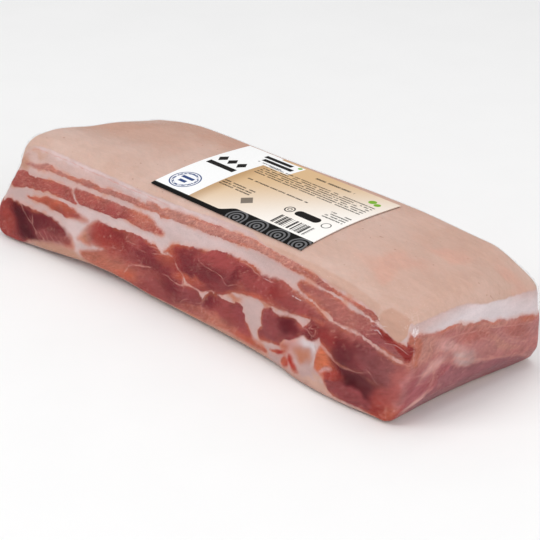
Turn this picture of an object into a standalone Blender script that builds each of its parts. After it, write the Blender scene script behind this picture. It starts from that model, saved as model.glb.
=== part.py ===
"""Salted pork belly: a rind-on slab in skin-tight clear film, with a paper label on the rind.

+X runs along the slab, the long marbled cut faces -Y, and the rind is on top.
The tables and named sizes are millimetres; MM turns the finished points into metres.
"""
import bmesh
import bpy
import numpy as np

MM = 0.001

# Driving dimensions of the plain block, before it is pulled into shape
LENGTH = 324.0
WIDTH = 110.0
HEIGHT = 65.0
RIND_EDGE = np.array([7.0, 8.0, 8.0])        # rounding along X, Y and Z at the rind
FOOT_EDGE = np.array([5.0, 4.5, 4.5])        # tighter rounding where the slab lies

# The paper label, laid square on the rind
LABEL_LENGTH = 126.4
LABEL_WIDTH = 80.8
LABEL_CENTRE = np.array([1.2, 4.0])
LABEL_TURN = np.radians(-0.7)
LABEL_THICKNESS = 0.3
LABEL_GAP = 0.3

# Sizes of the facets
CELL_ALONG = 6.4
CELL_ACROSS = 7.8
CELL_UP = 6.6
LABEL_CELL = 7.0
LABEL_CURL_LINES = (1.2, 2.4, 3.6, 5.0)      # extra lines where the label bends over the near edge

# How far each end leans out (+) or in (-), by share of the height
RIGHT_END = [(0, -13), (0.1, -9), (0.25, -3.5), (0.45, -1), (0.65, 0.5), (0.85, 0.5), (1, -3)]
LEFT_END = [(0, -22), (0.12, -28.5), (0.3, -27.3), (0.5, -22.5), (0.68, -17), (0.8, -16.5), (1, -15.1)]
LEFT_REACH = 132.0                           # length of slab that follows the left end's lean
RIGHT_REACH = 122.0
FACE_DEPTH = 14.0                            # a face's relief fades out this far behind its plane
FACE_FADE = 8.0
FAR_FOOT = 8.0                               # the right end's far lower corner runs on further
LEFT_TOP_BACK = 20.0                         # the left end's far upper corner is cut back

# How far the two long sides lean in (+) or out (-), by share of the height
NEAR_SIDE = [(0, -2.5), (0.15, -2), (0.5, 1.5), (0.8, 8), (0.92, 10.8), (1, 13.5)]
FAR_SIDE = [(0, 2), (0.3, -1), (0.6, -1.5), (1, 0.5)]
FAR_ALONG = [(-200, -2.5), (-120, 0.8), (-45, -1.2), (40, 0.8), (105, -0.4), (165, -1.5)]
NEAR_FOOT = [(-200, -1.5), (-150, -3), (-110, -0.7), (-60, 4), (0, 3), (60, 0), (90, -4), (130, -6),
             (165, -3.7)]

# Height gained by the rind and lost under the near edge, by place along the slab
RIND_ALONG = [(-200, -6), (-165, 0), (-130, 3.5), (-60, 5.2), (0, 5), (70, 5), (120, 2.8), (150, 1.5),
              (165, -2.5)]
UNDERSIDE_ARCH = [(-200, 0), (-165, 0), (-130, 2), (-90, 5.5), (-40, 2), (30, 1.8), (60, 1.2), (85, 0),
                  (165, 0)]
RIND_CROWN = 3.0                             # fall of the rind from its middle to its long edges
NEAR_LEFT_RISE = 4.0
FAR_LEFT_FALL = 4.0
FAR_RIGHT_FALL = 9.0
ARCH_FROM = -18.0                            # the arch starts this side of the underside's middle
ARCH_RUN = 34.0

# Muscles that swell out of the cuts: (place along, height, half length, half height, swell)
NEAR_MUSCLES = [
    (-137, 16, 34, 14, 1.5),
    (-110, 44, 74, 7, 0.8),
    (-62, 24, 40, 15, 1.6),
    (-18, 15, 34, 12, 1.2),
    (28, 41, 66, 11, 1.5),
    (16, 18, 22, 10, 1.2),
    (66, 23, 18, 11, 1.6),
    (122, 31, 40, 12, 1.7),
    (130, 13, 26, 9, 1.1),
]
FAR_MUSCLES = [
    (-96, 20, 46, 15, 1.5),
    (-40, 44, 80, 8, 0.9),
    (6, 17, 42, 13, 1.4),
    (70, 38, 52, 12, 1.4),
    (104, 15, 34, 11, 1.2),
]
RIGHT_MUSCLES = [
    (-10, 17, 44, 13, 1.3),
    (14, 36, 42, 11, 1.0),
]
LEFT_MUSCLES = [
    (-8, 18, 38, 14, 1.3),
    (6, 42, 44, 8, 0.8),
]
RIND_DIMPLES = [
    (-128, -6, 30, 34, -0.9),
    (96, 22, 26, 24, -0.8),
    (128, -24, 22, 18, 0.9),
    (-92, 30, 26, 20, 0.7),
]

FAT_AND_LEAN = (0.56, 0.27, 0.24, 1)
LABEL_PAPER = (0.78, 0.66, 0.50, 1)


def ease(t):
    """Smooth step from 0 to 1."""
    t = np.clip(t, 0, 1)
    return t * t * (3 - 2 * t)


def curve(value, knots):
    """Smooth curve through (place, value) knots that never overshoots them."""
    places, values = np.array(knots, float).T
    slope = np.diff(values) / np.diff(places)
    before, after = slope[:-1], slope[1:]
    bend = np.where(before * after > 0, 2 * before * after / (before + after + 1e-12), 0)
    tangent = np.concatenate([[slope[0]], bend, [slope[-1]]])
    value = np.clip(value, places[0], places[-1])
    i = np.clip(np.searchsorted(places, value) - 1, 0, len(slope) - 1)
    span = places[i + 1] - places[i]
    t = (value - places[i]) / span
    return ((2 * t**3 - 3 * t**2 + 1) * values[i] + (t**3 - 2 * t**2 + t) * span * tangent[i]
            + (3 * t**2 - 2 * t**3) * values[i + 1] + (t**3 - t**2) * span * tangent[i + 1])


def swell(across, up, domes):
    """Summed height of soft domes on a face."""
    total = np.zeros_like(across)
    for centre_across, centre_up, half_across, half_up, height in domes:
        inside = 1 - ((across - centre_across) / half_across)**2 - ((up - centre_up) / half_up)**2
        total += height * ease(inside)
    return total


def on_face(depth):
    """1 on a face, 0 well behind it."""
    return ease((FACE_DEPTH - depth) / FACE_FADE)


def round_block(points):
    """Round the plain block's edges, wider at the rind than at the foot."""
    half = np.array([LENGTH, WIDTH, HEIGHT]) / 2
    middle = np.array([0, 0, HEIGHT / 2])
    offset = points - middle
    share = ease(offset[:, 2:] / HEIGHT + 0.5)
    radius = (1 - share) * FOOT_EDGE + share * RIND_EDGE
    core = np.clip(offset, radius - half, half - radius)
    outward = (offset - core) / radius
    length = np.linalg.norm(outward, axis=1, keepdims=True)
    length[length < 1e-9] = 1
    return core + outward / length * radius + middle


def slab(points):
    """Move points of the plain block to the slab's real surface."""
    x, y, z = round_block(np.asarray(points, float)).T
    h = z / HEIGHT
    to_right = LENGTH / 2 - x
    to_left = LENGTH / 2 + x
    to_near = WIDTH / 2 + y
    to_far = WIDTH / 2 - y
    near = 1 - ease(to_near / (0.85 * WIDTH))
    far = 1 - near
    far_share = ease(to_near / WIDTH)
    right = ease(1 - to_right / RIGHT_REACH)
    left = ease(1 - to_left / LEFT_REACH)

    right_lean = curve(h, RIGHT_END) + FAR_FOOT * far_share**2 * (1 - h)
    left_lean = curve(h, LEFT_END) + LEFT_TOP_BACK * far_share * h
    new_x = (x + right * right_lean + left * left_lean
             + on_face(to_right) * swell(y, z, RIGHT_MUSCLES) - on_face(to_left) * swell(y, z, LEFT_MUSCLES))

    near_lean = curve(h, NEAR_SIDE) * (1 - 0.75 * ease((x - 95) / 60))
    new_y = (y + near * (near_lean + (1 - h) * curve(x, NEAR_FOOT))
             + far * (curve(h, FAR_SIDE) + curve(x, FAR_ALONG))
             - on_face(to_near) * swell(x, z, NEAR_MUSCLES) + on_face(to_far) * swell(x, z, FAR_MUSCLES))

    rind = (curve(x, RIND_ALONG) - RIND_CROWN * (2 * y / WIDTH)**2
            + NEAR_LEFT_RISE * ease(-y / 40) * ease((-x - 60) / 90)
            - FAR_LEFT_FALL * ease((y - 10) / 45) * ease((-x - 110) / 60)
            - FAR_RIGHT_FALL * ease(y / 55) * ease((x - 128) / 34)
            + swell(x, y, RIND_DIMPLES))
    arch = curve(x, UNDERSIDE_ARCH) * ease((ARCH_FROM - y) / ARCH_RUN)
    return np.stack([new_x, new_y, z + h * rind + (1 - h) * arch], axis=-1)


def block_point_under(target):
    """Point on the plain block's top that the slab carries to the places X, Y in target."""
    points = np.column_stack([target, np.full(len(target), HEIGHT)])
    for _ in range(30):
        points[:, :2] += target - slab(points)[:, :2]
    return points


def edge_lines(length, low_edge, high_edge, cell):
    """Places of the facet lines along one side: close on the rounded edges, even between them."""
    low = [low_edge * share for share in (0.42, 0.73, 1)]
    high = [length - high_edge * share for share in (1, 0.73, 0.42)]
    cells = round((high[0] - low[-1]) / cell)
    between = [low[-1] + (high[0] - low[-1]) * i / cells for i in range(1, cells)]
    return low + between + high


def box_mesh(size, base, lines):
    """A cube of the given size, standing on base, cut by a plane at each facet line."""
    mesh = bmesh.new()
    bmesh.ops.create_cube(mesh, size=1)
    bmesh.ops.scale(mesh, vec=size, verts=mesh.verts)
    bmesh.ops.translate(mesh, vec=(0, 0, base + size[2] / 2), verts=mesh.verts)
    starts = (-size[0] / 2, -size[1] / 2, base)
    for axis, places in enumerate(lines):
        for place in places:
            point = [0, 0, 0]
            point[axis] = starts[axis] + place
            normal = [int(i == axis) for i in range(3)]
            whole = mesh.verts[:] + mesh.edges[:] + mesh.faces[:]
            bmesh.ops.bisect_plane(mesh, geom=whole, plane_co=point, plane_no=normal)
    return mesh


def move_points(mesh, places):
    for vertex, place in zip(mesh.verts, places):
        vertex.co = place


def make_slab():
    lines = (
        edge_lines(LENGTH, RIND_EDGE[0], RIND_EDGE[0], CELL_ALONG),
        edge_lines(WIDTH, RIND_EDGE[1], RIND_EDGE[1], CELL_ACROSS),
        edge_lines(HEIGHT, FOOT_EDGE[2], RIND_EDGE[2], CELL_UP),
    )
    mesh = box_mesh((LENGTH, WIDTH, HEIGHT), 0, lines)
    points = np.array([vertex.co for vertex in mesh.verts])
    move_points(mesh, slab(points) * MM)
    return mesh


def make_label():
    """Thin sheet that follows the rind, its lower face a constant gap above it."""
    along = round(LABEL_LENGTH / LABEL_CELL)
    across = round((LABEL_WIDTH - LABEL_CURL_LINES[-1]) / LABEL_CELL)
    step = (LABEL_WIDTH - LABEL_CURL_LINES[-1]) / across
    lines = (
        [LABEL_LENGTH * i / along for i in range(1, along)],
        list(LABEL_CURL_LINES) + [LABEL_CURL_LINES[-1] + step * i for i in range(1, across)],
        [],
    )
    mesh = box_mesh((LABEL_LENGTH, LABEL_WIDTH, LABEL_THICKNESS), LABEL_GAP, lines)
    points = np.array([vertex.co for vertex in mesh.verts])
    turn = np.array([[np.cos(LABEL_TURN), -np.sin(LABEL_TURN)], [np.sin(LABEL_TURN), np.cos(LABEL_TURN)]])
    foot = block_point_under(points[:, :2] @ turn.T + LABEL_CENTRE)
    on_rind = slab(foot)
    ahead = slab(foot + [0.5, 0, 0]) - on_rind
    aside = slab(foot + [0, 0.5, 0]) - on_rind
    outward = np.cross(ahead, aside)
    outward /= np.linalg.norm(outward, axis=1, keepdims=True)
    move_points(mesh, (on_rind + outward * points[:, 2:]) * MM)
    return mesh


def make_material(name, colour, roughness):
    material = bpy.data.materials.new(name)
    material.use_nodes = True
    shader = material.node_tree.nodes["Principled BSDF"]
    shader.inputs["Base Color"].default_value = colour
    shader.inputs["Roughness"].default_value = roughness
    shader.inputs["Metallic"].default_value = 0
    return material


def add_piece(name, mesh, material, collection):
    data = bpy.data.meshes.new(name)
    bmesh.ops.recalc_face_normals(mesh, faces=mesh.faces)
    mesh.to_mesh(data)
    mesh.free()
    data.shade_smooth()
    data.set_sharp_from_angle(angle=np.radians(50))
    data.materials.append(material)
    piece = bpy.data.objects.new(name, data)
    collection.objects.link(piece)
    return piece


def centre_on_foot(pieces):
    """Move the pieces so that the origin is under the middle of the whole, on its underside."""
    corners = np.array([vertex.co for piece in pieces for vertex in piece.data.vertices])
    low, high = corners.min(axis=0), corners.max(axis=0)
    shift = np.array([(low[0] + high[0]) / 2, (low[1] + high[1]) / 2, low[2]])
    for piece in pieces:
        for vertex in piece.data.vertices:
            vertex.co = np.array(vertex.co) - shift


def main():
    for old in list(bpy.data.objects):
        bpy.data.objects.remove(old, do_unlink=True)
    collection = bpy.data.collections.new("salted_pork_belly")
    bpy.context.scene.collection.children.link(collection)
    meat = make_material("filmed pork", FAT_AND_LEAN, 0.3)
    paper = make_material("label paper", LABEL_PAPER, 0.55)
    pieces = [
        add_piece("pork_belly", make_slab(), meat, collection),
        add_piece("label", make_label(), paper, collection),
    ]
    centre_on_foot(pieces)


main()
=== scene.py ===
"""Looks of the salted pork belly: marbled meat and rind in skin-tight clear film, with a paper label.

The slab is a plain block in millimetres, which slab() pulls into its real shape.
Its cut sides unroll into one strip. The place along it, s, is 0 at the middle of the near face (-Y) and
grows towards +X, round the right end, the far side and the left end. The place up it, v, is the height,
and it runs on over the rind and under the foot.
"""

import bmesh
import bpy
import numpy as np
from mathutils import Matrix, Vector

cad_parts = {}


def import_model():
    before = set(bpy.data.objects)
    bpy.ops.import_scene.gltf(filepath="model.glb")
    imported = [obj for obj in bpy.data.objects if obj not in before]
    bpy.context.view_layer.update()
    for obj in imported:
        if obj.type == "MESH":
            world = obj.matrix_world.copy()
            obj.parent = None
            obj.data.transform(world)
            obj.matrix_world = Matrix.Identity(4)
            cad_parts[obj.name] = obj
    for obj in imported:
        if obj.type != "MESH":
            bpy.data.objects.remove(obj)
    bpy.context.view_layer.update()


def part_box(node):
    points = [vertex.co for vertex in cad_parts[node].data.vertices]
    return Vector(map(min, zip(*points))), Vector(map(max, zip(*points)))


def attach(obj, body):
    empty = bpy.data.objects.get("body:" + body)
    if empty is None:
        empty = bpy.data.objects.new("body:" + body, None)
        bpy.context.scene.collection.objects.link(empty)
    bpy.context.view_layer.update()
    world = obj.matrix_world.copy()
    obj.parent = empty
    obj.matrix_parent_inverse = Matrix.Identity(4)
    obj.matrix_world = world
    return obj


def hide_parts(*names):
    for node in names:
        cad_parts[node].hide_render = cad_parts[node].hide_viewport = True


MM = 0.001

# The plain block and its pull into shape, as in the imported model
LENGTH = 324.0
WIDTH = 110.0
HEIGHT = 65.0
RIND_EDGE = np.array([7.0, 8.0, 8.0])
FOOT_EDGE = np.array([5.0, 4.5, 4.5])
RIGHT_END = [(0, -13), (0.1, -9), (0.25, -3.5), (0.45, -1), (0.65, 0.5), (0.85, 0.5), (1, -3)]
LEFT_END = [(0, -22), (0.12, -28.5), (0.3, -27.3), (0.5, -22.5), (0.68, -17), (0.8, -16.5), (1, -15.1)]
LEFT_REACH = 132.0
RIGHT_REACH = 122.0
FACE_DEPTH = 14.0
FACE_FADE = 8.0
FAR_FOOT = 8.0
LEFT_TOP_BACK = 20.0
NEAR_SIDE = [(0, -2.5), (0.15, -2), (0.5, 1.5), (0.8, 8), (0.92, 10.8), (1, 13.5)]
FAR_SIDE = [(0, 2), (0.3, -1), (0.6, -1.5), (1, 0.5)]
FAR_ALONG = [(-200, -2.5), (-120, 0.8), (-45, -1.2), (40, 0.8), (105, -0.4), (165, -1.5)]
NEAR_FOOT = [(-200, -1.5), (-150, -3), (-110, -0.7), (-60, 4), (0, 3), (60, 0), (90, -4), (130, -6),
             (165, -3.7)]
RIND_ALONG = [(-200, -6), (-165, 0), (-130, 3.5), (-60, 5.2), (0, 5), (70, 5), (120, 2.8), (150, 1.5),
              (165, -2.5)]
UNDERSIDE_ARCH = [(-200, 0), (-165, 0), (-130, 2), (-90, 5.5), (-40, 2), (30, 1.8), (60, 1.2), (85, 0),
                  (165, 0)]
RIND_CROWN = 3.0
NEAR_LEFT_RISE = 4.0
FAR_LEFT_FALL = 4.0
FAR_RIGHT_FALL = 9.0
ARCH_FROM = -18.0
ARCH_RUN = 34.0
NEAR_MUSCLES = [
    (-137, 16, 34, 14, 1.5), (-110, 44, 74, 7, 0.8), (-62, 24, 40, 15, 1.6), (-18, 15, 34, 12, 1.2),
    (28, 41, 66, 11, 1.5), (16, 18, 22, 10, 1.2), (66, 23, 18, 11, 1.6), (122, 31, 40, 12, 1.7),
    (130, 13, 26, 9, 1.1),
]
FAR_MUSCLES = [
    (-96, 20, 46, 15, 1.5), (-40, 44, 80, 8, 0.9), (6, 17, 42, 13, 1.4), (70, 38, 52, 12, 1.4),
    (104, 15, 34, 11, 1.2),
]
RIGHT_MUSCLES = [(-10, 17, 44, 13, 1.3), (14, 36, 42, 11, 1.0)]
LEFT_MUSCLES = [(-8, 18, 38, 14, 1.3), (6, 42, 44, 8, 0.8)]
RIND_DIMPLES = [(-128, -6, 30, 34, -0.9), (96, 22, 26, 24, -0.8), (128, -24, 22, 18, 0.9),
                (-92, 30, 26, 20, 0.7)]

# The label
LABEL_LENGTH = 126.4
LABEL_WIDTH = 80.8
LABEL_CENTRE = np.array([1.2, 4.0])
LABEL_TURN = np.radians(-0.7)
LABEL_FOOT = 0.05                            # lower face, above the film
LABEL_THICKNESS = 0.5
LABEL_CELL = 1.5

# Grids and layers
MEAT_CELL = 2.6
FINE_INSET = 10.4                            # the fine cells run this far over the rind and under the foot
FILM_CELL = 1.6
MEAT_SINK = 0.55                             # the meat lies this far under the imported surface
FILM_FOLD = 0.55                             # height of the creases pulled from the corners
LEAN_SWELL = 0.3                             # lean stands this far proud of the fat
SEAM_GROOVE = 0.25                           # pale seams lie this deep in the lean
REACH = 6.0                                  # distances on the strip are not needed beyond this
TOUCH = 0.01                                 # points this close to a face of the block are on it
PATCH_EDGE = 1.25                            # patches end this many half sizes from their middle

# The strip round the cut sides
RIGHT_CORNER = LENGTH / 2
FAR_CORNER = RIGHT_CORNER + WIDTH
ROUND = 2 * (LENGTH + WIDTH)
LAST_CORNER = FAR_CORNER + LENGTH
BLEND = 30.0                                 # length over which one corner's pattern gives way to the next

# Camera and stage
CAMERA_AZIMUTH = np.radians(45.4)
CAMERA_ELEVATION = np.radians(27.15)
CAMERA_DISTANCE = 1.084
LENS = 120.0
SHIFT_X = 0.00417
SHIFT_Y = 0.0544

# Where the rind's near edge turns brown, and the film at the near right corner flattens it
EDGE_SHADE = 0.6
EDGE_SHADE_FROM = 30
EDGE_SHADE_TO = 136
CORNER_SHADE = 0.95
CORNER_LINE = 141
CORNER_SLANT = 0.77
CORNER_TOP = 67.5

# Folds in the film round the upper corners
FOLD_REACH = 34
FOLD_DROP = 8                                # their middle lies this far below the corner
FOLD_RAYS = 15

# Tones of the meat and the rind: sRGB, 0 to 255
TONES = {
    "salmon": (183, 125, 114), "coral": (182, 107, 89), "ember": (180, 90, 70), "red": (156, 62, 55),
    "brick": (140, 54, 52), "mauve": (163, 84, 77), "rose": (154, 72, 71), "plum": (140, 66, 68),
    "wine": (118, 44, 49), "dark": (99, 32, 39), "cherry": (76, 14, 24), "pink": (176, 115, 112),
    "dusk": (148, 92, 97), "violet": (162, 90, 95), "blood": (172, 55, 46), "clay": (170, 101, 94),
    "fold": (138, 42, 40), "fat": (200, 171, 167), "warm_fat": (206, 175, 168),
    "white_fat": (210, 186, 184), "snow": (220, 206, 208), "tan": (188, 142, 123), "cream": (200, 161, 146),
    "gristle": (190, 158, 154), "amber": (191, 125, 101), "blush": (198, 148, 143),
    "orange": (200, 108, 76), "haze": (120, 54, 58), "rind": (206, 171, 156), "pale_rind": (211, 181, 169),
    "brown_rind": (198, 156, 138), "flushed_rind": (212, 162, 145),
}

# Lean meat: closed outlines on the strip
LEAN = {
    "left end lens": [
        (-190, 30), (-200, 32), (-215, 33), (-232, 32), (-244, 30), (-232, 28.5), (-215, 28.5),
        (-200, 28.5)],
    "thin upper strip": [
        (-153, 51.2), (-146, 51.2), (-141, 51.6), (-138.5, 52.6), (-135, 53.8), (-130, 53.6), (-126, 52.8),
        (-122, 53.4), (-118, 52.6), (-112, 52.8), (-107, 53.5), (-103, 54.3), (-97, 54.4), (-92, 53.7),
        (-88, 54.2), (-85, 55.3), (-78, 55.6), (-72, 56), (-67, 56.4), (-60, 56), (-60, 53.2), (-66, 53),
        (-74, 52.1), (-82, 51.6), (-90, 51.2), (-100, 50.8), (-110, 50.4), (-118, 50.7), (-128, 50.7),
        (-134, 50.3), (-138, 49.5), (-142, 49), (-147, 49.8), (-153, 50.3)],
    "upper strip": [
        (-66, 55.5), (-62, 56.2), (-56, 56.3), (-56, 58), (-54, 58.8), (-48, 58.9), (-44, 58), (-40, 58.8),
        (-36, 59.2), (-30, 60), (-20, 60.8), (-12, 61.3), (-4, 61.5), (2, 62), (6, 62.6), (12, 62),
        (18, 63.3), (30, 63.3), (36, 62.4), (42, 62.5), (50, 61.8), (58, 61), (66, 60.8), (74, 60.2),
        (82, 59.2), (88, 58), (96, 57.6), (104, 56.8), (112, 57), (124, 58.1), (130, 58.2), (134, 56.8),
        (136, 55.2), (134, 54.6), (128, 54.4), (120, 55.3), (114, 55.1), (98, 55.2), (90, 55.3), (82, 55.6),
        (74, 56.2), (66, 56.1), (60, 56.7), (52, 57), (46, 57.4), (40, 58), (32, 57.8), (26, 57.2),
        (20, 56.6), (12, 56.2), (5, 56.2), (2, 55.6), (-4, 55.2), (-12, 55), (-20, 55.1), (-28, 54.6),
        (-34, 54.3), (-39, 53.2), (-43, 52.5), (-46, 53.9), (-52, 53.6), (-60, 53.2), (-66, 53)],
    "middle strip": [
        (-305, 46), (-285, 46), (-265, 45), (-245, 46.5), (-225, 45.5), (-205, 47), (-185, 46),
        (-170, 44.5), (-158, 45), (-153, 46.2), (-150, 46.3), (-147, 45.2), (-142, 45), (-137, 45.3),
        (-132, 46), (-126, 46.5), (-120, 46.3), (-110, 46.8), (-109, 45), (-107, 42), (-105, 40),
        (-103.5, 38.7), (-105, 38), (-116, 38.3), (-122, 38.8), (-127, 39.2), (-130, 38), (-136, 37.3),
        (-141, 37), (-146, 36), (-150, 35.2), (-154, 34.9), (-160, 36), (-170, 34.5), (-185, 35.5),
        (-205, 37), (-225, 36), (-245, 38), (-265, 36.5), (-285, 37.5), (-305, 38)],
    "second middle strip": [
        (-108, 47.2), (-105, 47.9), (-98, 48.4), (-90, 48.4), (-82, 48.8), (-70, 49.6), (-58, 49.9),
        (-52, 49.7), (-48, 48.9), (-45, 47.5), (-42, 46.5), (-39.8, 45.8), (-38.5, 44.8), (-39.5, 43.5),
        (-41.5, 42.5), (-46, 42.3), (-50, 41.9), (-54, 41.2), (-58, 41.6), (-64, 42), (-69, 42.2),
        (-72, 41.3), (-75, 40), (-78, 39.6), (-81, 40.2), (-86, 39.8), (-92, 39.3), (-98, 39.2),
        (-102, 38.9), (-104, 40.5), (-106.5, 43), (-108.3, 45)],
    "orange lens": [
        (-140, 31.8), (-136, 33), (-131, 34), (-128, 35.5), (-125, 36.4), (-120, 36), (-113, 36),
        (-107, 35.4), (-100, 33.8), (-97, 32.5), (-92, 30.8), (-94, 29.7), (-98, 28.9), (-102, 28.5),
        (-107, 27.6), (-110, 28.6), (-113, 29.4), (-119, 29.4), (-124, 30.6), (-130, 30.5), (-136, 31)],
    "low left muscle": [
        (-305, 26), (-290, 26), (-270, 24), (-256, 25), (-242, 28), (-226, 27.5), (-212, 24), (-200, 22),
        (-192, 24), (-180, 27.5), (-168, 27), (-158, 24), (-155, 26.5), (-151, 27.2), (-146, 26.8),
        (-136, 26), (-131, 25.3), (-126, 25.6), (-120, 25), (-115, 24), (-110, 22), (-106, 20), (-103, 17),
        (-101, 14.5), (-99.5, 11.5), (-100, 9.5), (-103, 8.5), (-108, 8.8), (-113, 8), (-118, 7.2),
        (-123, 6.5), (-127, 6), (-131, 5), (-138, 2), (-146, -2), (-165, -2), (-190, -1), (-215, 3),
        (-240, 1), (-262, 4), (-280, 2), (-305, 3)],
    "large middle muscle": [
        (-96, 16.5), (-95, 20), (-94, 23), (-92.5, 26.5), (-90, 30), (-86.5, 33.5), (-82, 34.3),
        (-76, 34.5), (-70, 35.8), (-64, 36.6), (-58, 37), (-52, 36.8), (-46, 36.4), (-42, 36),
        (-39.5, 34.8), (-37, 33.4), (-34, 33.6), (-31, 34.4), (-28, 34), (-24.5, 32.2), (-21.3, 29.4),
        (-19, 27.3), (-17.2, 25), (-15.8, 22.6), (-15.5, 18), (-14, 12), (-14, 5), (-30, 3.5), (-50, 3),
        (-70, 3), (-86, 3), (-93, 5), (-94, 9), (-90, 11.5), (-84, 14.5), (-80, 17), (-78, 18.8),
        (-82, 17.5), (-86, 17), (-89, 15.2), (-92, 15.5)],
    "long upper muscle": [
        (-36, 34.5), (-35, 36.5), (-33, 38.5), (-30, 41), (-26, 42.8), (-22, 43.5), (-16, 44.6),
        (-10, 45.7), (-4, 46.2), (0, 46.5), (3, 48.2), (7, 49.3), (12, 49.8), (24, 50.6), (34, 50),
        (42, 49), (45, 48.2), (49, 48.1), (54, 48.8), (60, 49), (66, 48.3), (72, 47.8), (78, 46.6),
        (86, 45.6), (92, 44.5), (97, 42.8), (100.5, 41.5), (100, 40), (98, 39), (96, 38.2), (92, 38.5),
        (86, 38), (80, 37), (74, 35.8), (68, 34.8), (62, 34), (56, 33.6), (50, 34), (44, 34.2), (38, 33.3),
        (33, 32.2), (28, 31), (23, 29.5), (20, 27.5), (16, 26), (12, 24.8), (8, 25), (4, 24), (0, 22.5),
        (-8, 22.8), (-13, 23.5), (-17, 25.5), (-20, 28), (-23, 30.5), (-25, 32.5), (-28, 34), (-32, 34.8)],
    "low middle muscle": [
        (2, 18.5), (3.5, 21.5), (6, 24), (9, 25), (14, 24.8), (26, 25), (28, 26.3), (30.5, 26.8), (33, 26),
        (34.5, 24.5), (34.3, 22.5), (36, 21), (37.5, 18.5), (40, 15), (42.5, 13), (45, 10.2), (50, 9),
        (56, 8), (56, 5.5), (40, 5), (20, 5), (0, 4), (-14, 4), (-17, 8), (-17, 14), (-16, 21.4),
        (-10, 22.2), (-4, 21.9), (0, 19.6)],
    "round muscle": [
        (49.5, 28), (51, 30.5), (54, 32), (56.5, 32.8), (58.5, 31.5), (62, 31), (66, 32), (70, 33.6),
        (75, 34.2), (79, 33.5), (83, 31.5), (85, 30.5), (88, 30), (84, 28), (80, 25), (77, 23), (74, 21.8),
        (71.5, 20.8), (70, 19.5), (68.5, 17.5), (68, 15.5), (66, 14.5), (62, 13.8), (58, 13), (53, 12),
        (50, 12), (48.5, 14), (48, 16.5), (50, 19), (51.5, 20), (50, 22), (49.3, 25)],
    "small lobe": [
        (83, 31.5), (85, 34), (86, 36), (88, 37.8), (92, 38.5), (98, 39), (98, 34), (95, 30), (92, 27.8),
        (88, 27.5), (85, 29)],
    "right upper muscle": [
        (96, 39), (100.5, 41.5), (104, 41.8), (110, 42), (118, 42.7), (124, 43.1), (130, 42), (134, 41.5),
        (140, 41), (146, 40.8), (152, 39.8), (161, 40), (161, 23), (150, 21.5), (140, 22.5), (132, 24.5),
        (126, 23.5), (122, 24), (117, 23.5), (112, 25), (107, 27), (103, 28), (100, 29.5), (97, 32)],
    "right lower muscle": [
        (99, 28), (102, 27.5), (107, 26.5), (112, 25.5), (118, 24.5), (124, 25.5), (132, 27), (140, 23),
        (150, 23), (161, 24), (161, 3), (150, 3), (140, 4), (130, 4.5), (118, 5), (112, 8), (106, 12),
        (99, 14), (97, 20)],
    "pale wedge": [
        (71, 51.5), (74, 53.6), (80, 54), (90, 54), (100, 53.8), (108, 53), (113, 52.4), (118, 53.2),
        (126, 53.5), (132, 53), (140, 52.5), (150, 50.5), (160, 50.5), (161, 42), (155, 41.5), (146, 42),
        (138, 42.5), (130, 43.5), (124, 44.3), (118, 44), (110, 43), (103, 42.6), (101.5, 43.3), (99, 45),
        (95, 45.2), (90, 45.4), (86, 46.8), (78, 48), (72, 49.8)],
    "red streak": [
        (60, 8.3), (66, 9.2), (70, 11), (74, 14.5), (70, 13.4), (65, 11.2), (61, 9.8)],
    "red lump": [
        (76, 13.6), (80, 13.2), (82, 10.8), (86, 8), (87, 6), (82, 6), (79, 8.5), (76, 10.2)],
    "small red lump": [
        (69.5, 6.5), (71.5, 10.3), (75, 11.2), (77.3, 9), (76, 6.2), (73, 5)],
    "right end": [
        (156, 2), (154, 20), (154, 36), (156, 44), (156, 52), (158, 58.5), (162, 59.3), (167, 59.5),
        (173, 57.5), (180, 55.5), (184, 54.5), (188, 55), (195, 53.8), (200, 52.5), (205, 50), (210, 49),
        (218, 47.8), (221, 47.5), (226, 45.5), (230, 44.8), (237, 45.2), (242, 43.8), (249, 44),
        (251, 44.5), (257, 44.2), (262, 43.5), (266, 42), (280, 43), (305, 42), (305, 4), (285, 3),
        (262, 2), (230, 2.5), (200, 1.5), (175, 1)],
}

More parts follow.
